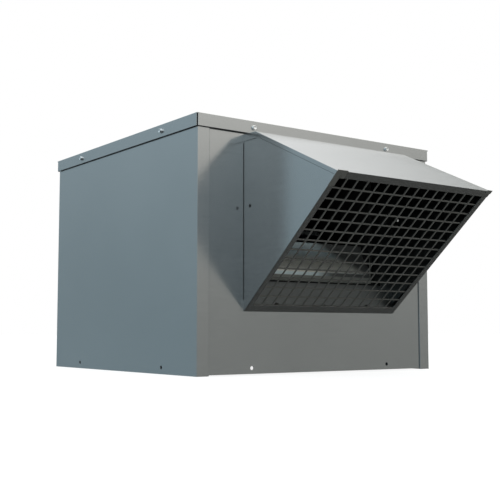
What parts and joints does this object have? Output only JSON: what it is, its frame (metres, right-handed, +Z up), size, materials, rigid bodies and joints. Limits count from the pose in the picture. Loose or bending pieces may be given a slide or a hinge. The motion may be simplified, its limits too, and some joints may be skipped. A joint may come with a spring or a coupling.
{
  "type": "roof vent fan",
  "caption": "Square sheet steel roof vent fan with a lift-off lid, a screened weather hood and a direct drive double inlet blower inside.",
  "frame": {"origin": "centre of the open base, level with the lower edge of the side panels", "axes": "+Z is up, the hood reaches out along -Y and X is the width; the motor is on the -X side"},
  "size_m": [0.6332, 0.8993, 0.494],
  "materials": {
    "housing_sheet": "satin galvanised sheet",
    "dark_steel": "satin",
    "screen_steel": "satin",
    "blower_sheet": "galvanised",
    "wheel_sheet": "galvanised",
    "bright_steel": "zinc plated",
    "soft_foam": "matte foam",
    "black_rubber": "matte",
    "motor_paint": "semi gloss",
    "core_steel": "laminated",
    "copper_wire": "varnished",
    "box_sheet": "galvanised",
    "switch_plastic": "matte",
    "lever_metal": "polished",
    "fitting_metal": "zinc cast",
    "cable_sheath": "satin",
    "can_metal": "satin"
  },
  "bodies": {
    "housing": {"lid": "housing_sheet", "lid_foam": "soft_foam", "lid_screws": "bright_steel", "left_side_panel": "housing_sheet", "right_side_panel": "housing_sheet", "front_panel": "housing_sheet", "rear_panel": "housing_sheet", "left_base_rail": "dark_steel", "right_base_rail": "dark_steel", "front_seat_angle": "dark_steel", "rear_seat_angle": "dark_steel", "curb_foam": "soft_foam", "hood_top": "housing_sheet", "hood_left_side": "housing_sheet", "hood_right_side": "housing_sheet", "hood_sill": "housing_sheet", "hood_corner_plates": "screen_steel", "birdscreen": "screen_steel", "hood_screws": "bright_steel", "scroll_wrap": "blower_sheet", "scroll_left_plate": "blower_sheet", "scroll_right_plate": "blower_sheet", "cutoff_plate": "blower_sheet", "tongue_strip": "blower_sheet", "mouth_frame": "blower_sheet", "mouth_seal": "soft_foam", "left_inlet_ring": "blower_sheet", "right_inlet_ring": "blower_sheet", "left_blower_rail": "dark_steel", "right_blower_rail": "dark_steel", "left_foot_angle": "dark_steel", "right_foot_angle": "dark_steel", "isolators": "black_rubber", "isolator_bolts": "bright_steel", "motor_shell": "motor_paint", "motor_drive_bell": "motor_paint", "motor_rear_bell": "motor_paint", "stator_core": "core_steel", "stator_windings": "copper_wire", "motor_bearings": "bright_steel", "motor_band": "bright_steel", "motor_arms": "bright_steel", "arm_grommets": "black_rubber", "arm_bolts": "core_steel", "junction_box": "box_sheet", "junction_box_cover": "box_sheet", "switch_body": "switch_plastic", "cable_fittings": "fitting_metal", "motor_cable": "cable_sheath", "capacitor": "can_metal"},
    "wheel": {"wheel_centre_plate": "wheel_sheet", "wheel_left_blades": "wheel_sheet", "wheel_right_blades": "wheel_sheet", "wheel_left_ring": "wheel_sheet", "wheel_right_ring": "wheel_sheet", "wheel_hub": "bright_steel", "hub_set_screw": "core_steel", "motor_shaft": "bright_steel", "rotor_core": "core_steel"},
    "lever": {"switch_lever": "lever_metal"}
  },
  "joints": [
    {"name": "wheel_spin", "type": "hinge", "parent": "housing", "child": "wheel", "pos_m": [0, 0.03, 0.25], "axis": [1, 0, 0], "continuous": true},
    {"name": "switch_throw", "type": "hinge", "parent": "housing", "child": "lever", "pos_m": [-0.2478, -0.1, 0.25], "axis": [0, 1, 0], "range_deg": [0, 24]}
  ]
}
